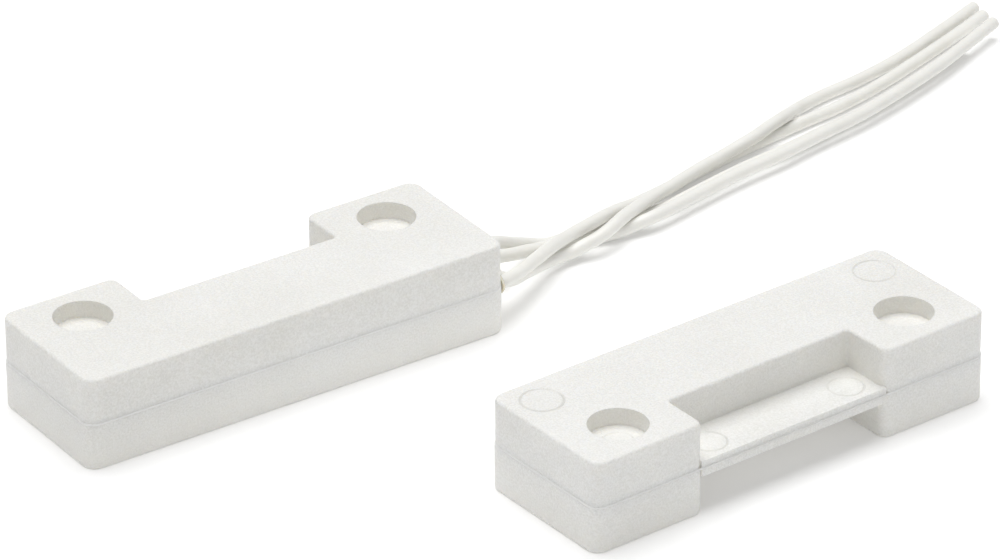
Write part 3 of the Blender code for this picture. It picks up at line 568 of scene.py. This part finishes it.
def strand_bundle(name, end, along, material):
    """The cut strands that stand out a little from a lead's end."""
    work = bmesh.new()
    turn = along.to_track_quat("Z", "Y").to_matrix().to_4x4()
    places = [Vector((0.0, 0.0, 0.0))]
    for step in range(STRANDS_ROUND):
        angle = 2 * math.pi / STRANDS_ROUND * step
        places.append(Vector((math.cos(angle), math.sin(angle), 0.0)) * STRAND_SPACING * MM)
    for number, place in enumerate(places):
        reach = (STRAND_REACH + STRAND_REACH_STEP * (number % 3)) * MM
        middle = place + Vector((0.0, 0.0, reach / 2))
        bmesh.ops.create_cone(
            work, cap_ends=True, segments=STRAND_SIDES, radius1=STRAND_RADIUS * MM,
            radius2=STRAND_TIP_RADIUS * MM, depth=reach,
            matrix=Matrix.Translation(end) @ turn @ Matrix.Translation(middle),
        )
    mesh = bpy.data.meshes.new(name)
    work.to_mesh(mesh)
    work.free()
    mesh.materials.append(material)
    return add_object(name, mesh)


def make_lead(name, insulation, copper):
    """A lead from its exit to its bare cut end."""
    points = lead_points(name)
    obj = lead_curve(name, points)
    obj.data.materials.append(insulation)
    along = (points[-1] - points[-2]).normalized()
    strands = strand_bundle(f"{name}_strands", points[-1], along, copper)
    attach(obj, "switch")
    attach(strands, "switch")
    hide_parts(name)
    curve_length(points)


def parting_plan(inset):
    """Points of the housing's rounded rectangle, drawn in by a distance, from the corner at +X and +Y."""
    points = []
    radius = END_CORNER_RADIUS - inset
    centre_x = END - END_CORNER_RADIUS
    centre_y = SIDE - END_CORNER_RADIUS
    quarter = math.pi / 2
    for number, (side_x, side_y) in enumerate(((1, 1), (-1, 1), (-1, -1), (1, -1))):
        for step in range(CORNER_STEPS + 1):
            angle = quarter * (number + step / CORNER_STEPS)
            across = Vector((math.cos(angle), math.sin(angle))) * radius
            points.append(Vector((side_x * centre_x, side_y * centre_y)) + across)
    return points


def flash_rings(placed, closed):
    """The strip's lines, one for each corner of its section."""
    lines = []
    for inset, rise in FLASH_SECTION:
        plan = parting_plan(inset)
        if not closed:
            plan = [Vector((END - inset, FLASH_START_Y)), *plan[:-FLASH_POINTS_LEFT_OUT]]
        lines.append([Vector((*placed(*point), PARTING_HEIGHT + rise)) * MM for point in plan])
    return lines


def make_flash(name, body, placed, closed, material):
    """A thin strip along the parting line. An open one leaves out the end face where the leads come out."""
    lines = flash_rings(placed, closed)
    count = len(lines[0])
    sides = len(lines)
    points = [lines[side][index] for index in range(count) for side in range(sides)]
    faces = []
    for index in range(count if closed else count - 1):
        here = index * sides
        beyond = (index + 1) % count * sides
        for side in range(sides):
            other = (side + 1) % sides
            faces.append((here + side, beyond + side, beyond + other, here + other))
    if not closed:
        faces.append(tuple(range(sides)))
        faces.append(tuple(reversed(range((count - 1) * sides, count * sides))))
    mesh = bpy.data.meshes.new(name)
    mesh.from_pydata(points, [], faces)
    mesh.materials.append(material)
    obj = add_object(name, mesh)
    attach(obj, body)


def magnet_cover_rings():
    """Each ejector mark's centre in the row frame, radius and height."""
    rings = [(in_magnet_unit(*mark), TOP_EJECTOR_RADIUS, HEIGHT) for mark in TOP_EJECTOR_MARKS]
    rings += [(in_magnet_unit(*mark), FLANGE_EJECTOR_RADIUS, FLANGE_TOP) for mark in FLANGE_EJECTOR_MARKS]
    rings.append((in_magnet_unit(*COUNTERBORE_MARK), COUNTERBORE_MARK_RADIUS, COUNTERBORE_FLOOR))
    return rings


def main():
    make_camera()
    insulation = insulation_surface()
    dull_tin = (0.21, 0.38)
    copper = metal_surface("conductor_tinned", CONDUCTOR_COLOURS, dull_tin, grain_scale=3.0, grain_depth=0.01)
    for name in LEAD_ROUTES:
        make_lead(name, insulation, copper)
    make_floor()
    make_lights()

    dull_solder = (0.29, 0.46)
    solder = metal_surface("solder_dull", SOLDER_COLOURS, dull_solder, grain_scale=1.5, grain_depth=0.04)
    reed = drawn_metal_surface()
    glue = glue_surface()
    dress("switch_base", housing_surface("housing_white"))
    dress("switch_cover", housing_surface("housing_white_cover"))
    dress("magnet_base", housing_surface("housing_white_magnet_base"))
    dress("magnet_cover", housing_surface("housing_white_magnet_cover", magnet_cover_rings()))
    flash = flash_surface()
    make_flash("switch_flash", "switch", in_switch_unit, closed=False, material=flash)
    make_flash("magnet_flash", "magnet", in_magnet_unit, closed=True, material=flash)
    dress("reed_glass", glass_surface())
    for node in ("reed_blade_left", "reed_blade_right"):
        dress(node, reed)
    for node in ("solder_left", "solder_right", "tamper_joint"):
        dress(node, solder)
    dress("tamper_sleeve", sleeve_surface())
    for node in ("glue_front", "glue_rear"):
        dress(node, glue)
    for name in LEAD_ROUTES:
        dress(f"{name}_tail", insulation)
        dress(f"conductor_{name[-1]}", copper)
    dress("bar_magnet", ferrite_surface())
    dress("magnet_pad", foam_surface())


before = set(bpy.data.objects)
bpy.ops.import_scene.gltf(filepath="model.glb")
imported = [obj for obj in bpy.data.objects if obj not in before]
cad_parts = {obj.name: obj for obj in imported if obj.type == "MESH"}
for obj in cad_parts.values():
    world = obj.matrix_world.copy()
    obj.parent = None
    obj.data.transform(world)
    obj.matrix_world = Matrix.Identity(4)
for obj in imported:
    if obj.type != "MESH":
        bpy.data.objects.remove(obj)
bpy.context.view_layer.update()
main()
